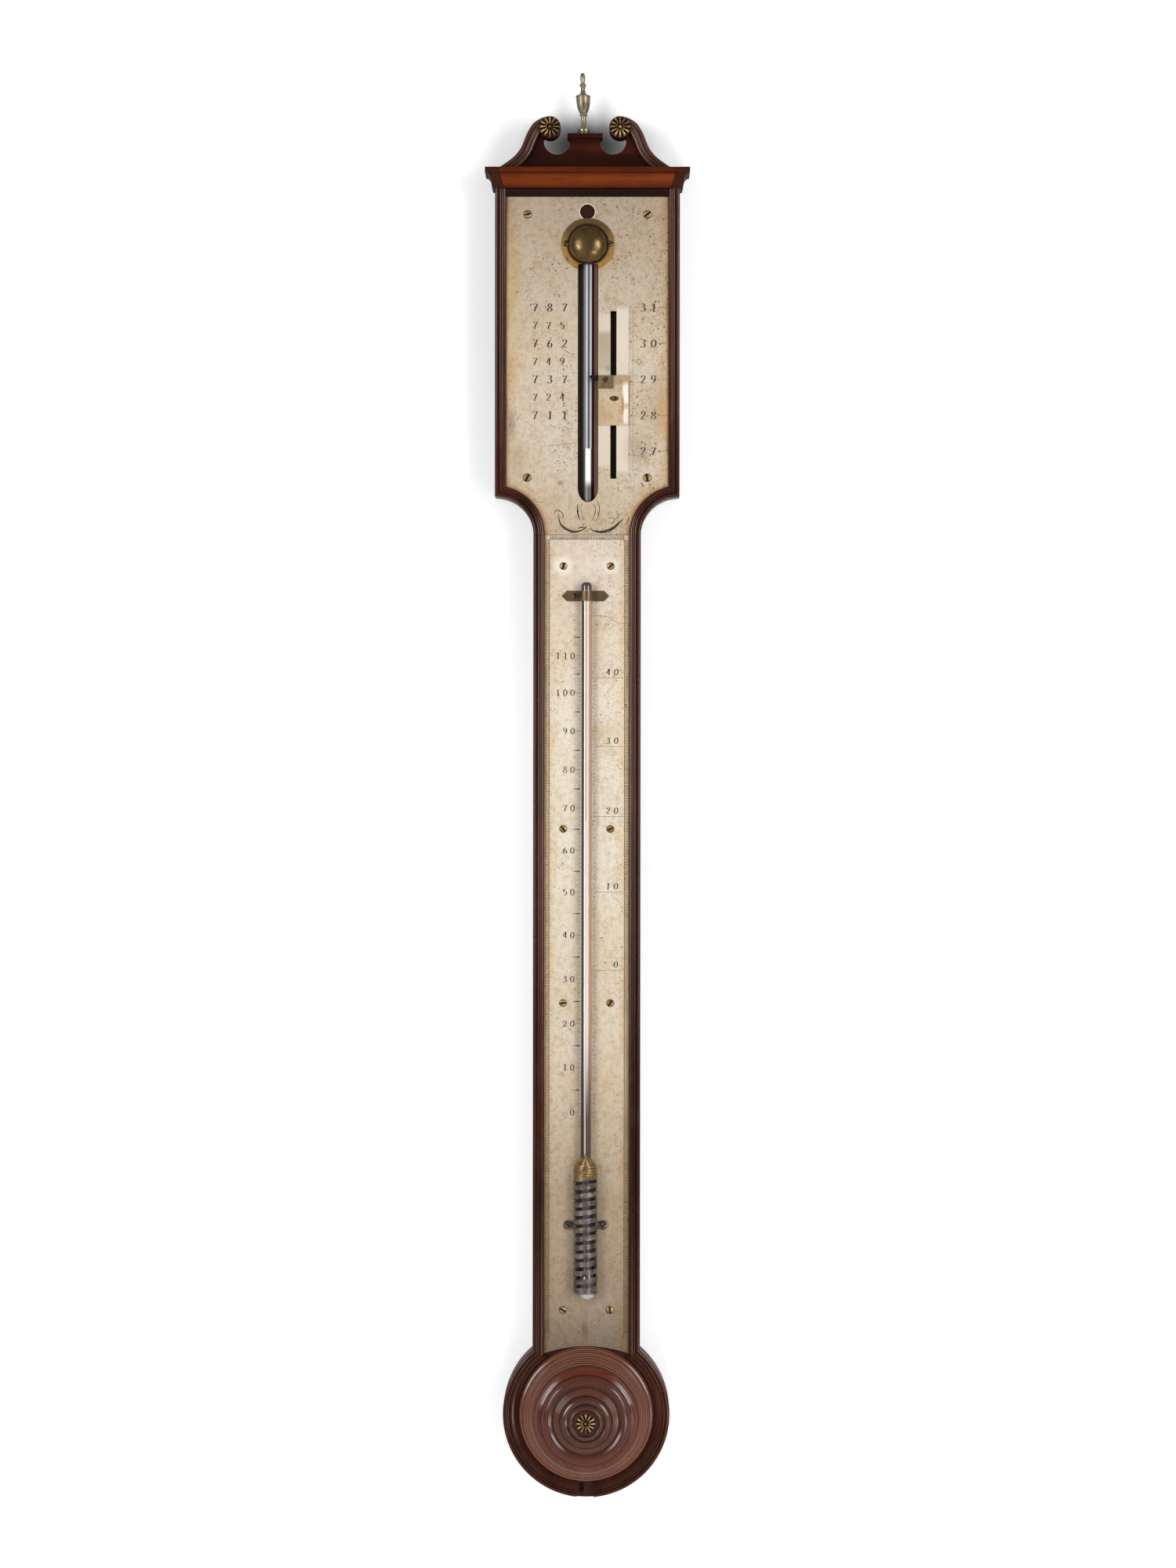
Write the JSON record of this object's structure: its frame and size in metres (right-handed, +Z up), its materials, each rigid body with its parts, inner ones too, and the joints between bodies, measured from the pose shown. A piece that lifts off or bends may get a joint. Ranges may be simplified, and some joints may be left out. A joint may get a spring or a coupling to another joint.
{
  "type": "stick barometer",
  "caption": "Tall wall-hung wooden stick barometer with swan-neck pediment, engraved register and thermometer plates, sliding vernier and round turned cistern cover.",
  "frame": {"origin": "centre of the hanging eye in the brass plate at the top of the back, on the wall plane", "axes": "+X to the viewer's right, +Y into the wall, +Z up; the front faces -Y"},
  "size_m": [0.1448, 0.0684, 1.0094],
  "materials": {
    "mahogany": "french polished, dark, worn",
    "cornice_wood": "waxed, redder and lighter, grain across",
    "turned_wood": "french polished, worn to orange-red",
    "silvered_plate": "silvered, engraved and filled with black wax, foxed",
    "brass": "old lacquer, mellow",
    "dark_brass": "tarnished, bright on the high points",
    "glass": "clear",
    "mercury": "liquid metal",
    "boxwood": "turned, oiled",
    "leather": "thin kid",
    "spring_steel": "blued, worn"
  },
  "bodies": {
    "case": {"case_board": "mahogany", "base_block": "mahogany", "head_moulding_right": "mahogany", "head_moulding_left": "mahogany", "trunk_moulding_right": "mahogany", "trunk_moulding_left": "mahogany", "base_moulding_right": "mahogany", "base_moulding_left": "mahogany", "head_rail": "mahogany", "cornice_front": "cornice_wood", "cornice_return_right": "mahogany", "cornice_return_left": "mahogany", "pediment_board": "mahogany", "swan_neck_right": "mahogany", "swan_neck_left": "mahogany", "plinth_cap": "mahogany", "finial": "dark_brass", "rosette_right": "dark_brass", "rosette_left": "dark_brass", "register_plate": "silvered_plate", "thermometer_plate": "silvered_plate", "register_screw_top_left": "brass", "register_screw_foot_left": "brass", "thermometer_screw_1_left": "brass", "thermometer_screw_2_left": "brass", "thermometer_screw_3_left": "brass", "thermometer_screw_4_left": "brass", "register_screw_top_right": "brass", "register_screw_foot_right": "brass", "thermometer_screw_1_right": "brass", "thermometer_screw_2_right": "brass", "thermometer_screw_3_right": "brass", "thermometer_screw_4_right": "brass", "tube_cap": "brass", "barometer_tube": "glass", "mercury_column": "mercury", "cistern_cap": "boxwood", "cistern_body": "boxwood", "cistern_foot": "boxwood", "cistern_leather": "leather", "cistern_mercury": "mercury", "cistern_cover": "turned_wood", "rosette_cover": "dark_brass", "thermometer_glass": "glass", "thermometer_mercury": "mercury", "thermometer_clip": "brass", "bulb_guard": "brass", "hanging_plate": "brass", "hanging_screw_1": "brass", "hanging_screw_2": "brass"},
    "vernier": {"vernier_plate": "silvered_plate", "vernier_index": "silvered_plate", "vernier_slider": "brass", "vernier_spring": "spring_steel"},
    "pad": {"lifting_pad": "boxwood"},
    "screw": {"portable_screw": "brass"}
  },
  "joints": [
    {"name": "vernier_slide", "type": "slide", "parent": "case", "child": "vernier", "axis": [0, 0, 1], "range_m": [-0.0543, 0.0597]},
    {"name": "pad_lift", "type": "slide", "parent": "case", "child": "pad", "axis": [0, 0, 1], "range_m": [0, 0.005], "deforming": ["cistern_leather", "cistern_mercury"]},
    {"name": "portable_screw_turn", "type": "hinge", "parent": "pad", "child": "screw", "pos_m": [-0.0007, -0.016, -0.93], "axis": [0, 0, 1], "range_deg": [0, 1440]}
  ],
  "couplings": [
    {"joint": "portable_screw_turn", "follows": "pad_lift", "rad_per_m": 5026.5}
  ]
}
